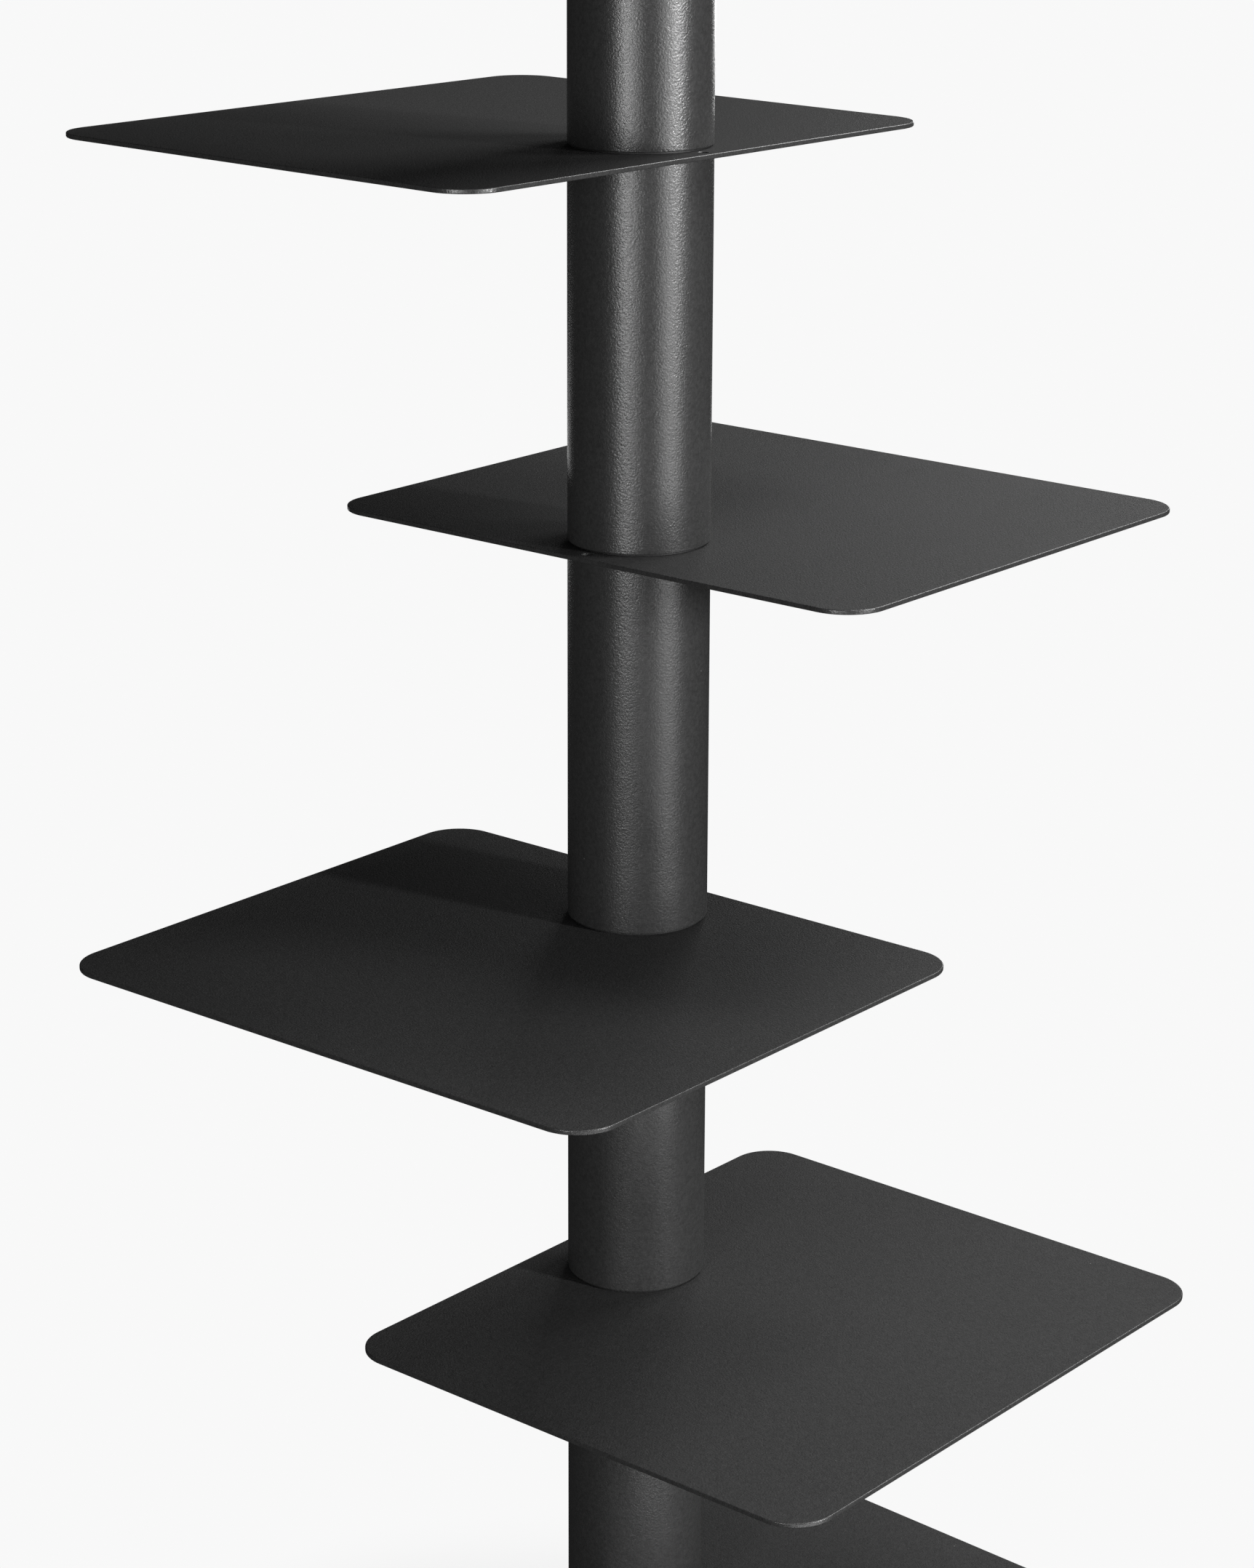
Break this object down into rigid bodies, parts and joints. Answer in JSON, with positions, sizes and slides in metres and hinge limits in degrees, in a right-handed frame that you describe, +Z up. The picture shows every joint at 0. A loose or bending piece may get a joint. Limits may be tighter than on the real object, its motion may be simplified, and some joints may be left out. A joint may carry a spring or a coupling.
{
  "type": "spine bookshelf",
  "caption": "Free-standing book tower: flat steel shelves with round corners, each held off centre by a round stacked column on which it swivels, over a square base plate.",
  "frame": {"origin": "the column's axis at the floor, on the underside of the floor mat", "axes": "+Z up along the column's axis; +X and +Y square to the base plate's sides"},
  "size_m": [0.6026, 0.6168, 1.729],
  "materials": {
    "black_coat": "fine-textured matte black powder coat on steel",
    "turned_steel": "turned steel, lightly oiled",
    "zinc_steel": "zinc-plated steel",
    "spring_steel": "phosphated spring steel",
    "black_nylon": "black nylon sheet",
    "black_rubber": "black rubber sheet"
  },
  "bodies": {
    "column": {"floor_mat": "black_rubber", "base_plate": "black_coat", "base_hub": "turned_steel", "base_screws": "zinc_steel", "tie_rod": "zinc_steel", "tube_1": "black_coat", "tube_2": "black_coat", "tube_3": "black_coat", "tube_4": "black_coat", "tube_5": "black_coat", "tube_6": "black_coat", "tube_7": "black_coat", "swivel_hub_1": "turned_steel", "swivel_hub_2": "turned_steel", "swivel_hub_3": "turned_steel", "swivel_hub_4": "turned_steel", "swivel_hub_5": "turned_steel", "swivel_hub_6": "turned_steel", "foot_plug_1": "turned_steel", "foot_plug_2": "turned_steel", "foot_plug_3": "turned_steel", "foot_plug_4": "turned_steel", "foot_plug_5": "turned_steel", "foot_plug_6": "turned_steel", "clamp_disc": "black_coat", "lower_disc_spring": "spring_steel", "upper_disc_spring": "spring_steel", "tie_washer": "zinc_steel", "tie_nut": "zinc_steel", "top_cap": "black_coat"},
    "swivel_shelf_1": {"shelf_1": "black_coat", "lower_washer_1": "black_nylon", "upper_washer_1": "black_nylon"},
    "swivel_shelf_2": {"shelf_2": "black_coat", "lower_washer_2": "black_nylon", "upper_washer_2": "black_nylon"},
    "swivel_shelf_3": {"shelf_3": "black_coat", "lower_washer_3": "black_nylon", "upper_washer_3": "black_nylon"},
    "swivel_shelf_4": {"shelf_4": "black_coat", "lower_washer_4": "black_nylon", "upper_washer_4": "black_nylon"},
    "swivel_shelf_5": {"shelf_5": "black_coat", "lower_washer_5": "black_nylon", "upper_washer_5": "black_nylon"},
    "swivel_shelf_6": {"shelf_6": "black_coat", "lower_washer_6": "black_nylon", "upper_washer_6": "black_nylon"}
  },
  "joints": [
    {"name": "shelf_1_swivel", "type": "hinge", "parent": "column", "child": "swivel_shelf_1", "pos_m": [0, 0, 0.2545], "axis": [0, 0, 1], "continuous": true},
    {"name": "shelf_2_swivel", "type": "hinge", "parent": "column", "child": "swivel_shelf_2", "pos_m": [0, 0, 0.4995], "axis": [0, 0, 1], "continuous": true},
    {"name": "shelf_3_swivel", "type": "hinge", "parent": "column", "child": "swivel_shelf_3", "pos_m": [0, 0, 0.7445], "axis": [0, 0, 1], "continuous": true},
    {"name": "shelf_4_swivel", "type": "hinge", "parent": "column", "child": "swivel_shelf_4", "pos_m": [0, 0, 0.9895], "axis": [0, 0, 1], "continuous": true},
    {"name": "shelf_5_swivel", "type": "hinge", "parent": "column", "child": "swivel_shelf_5", "pos_m": [0, 0, 1.2345], "axis": [0, 0, 1], "continuous": true},
    {"name": "shelf_6_swivel", "type": "hinge", "parent": "column", "child": "swivel_shelf_6", "pos_m": [0, 0, 1.4795], "axis": [0, 0, 1], "continuous": true}
  ]
}
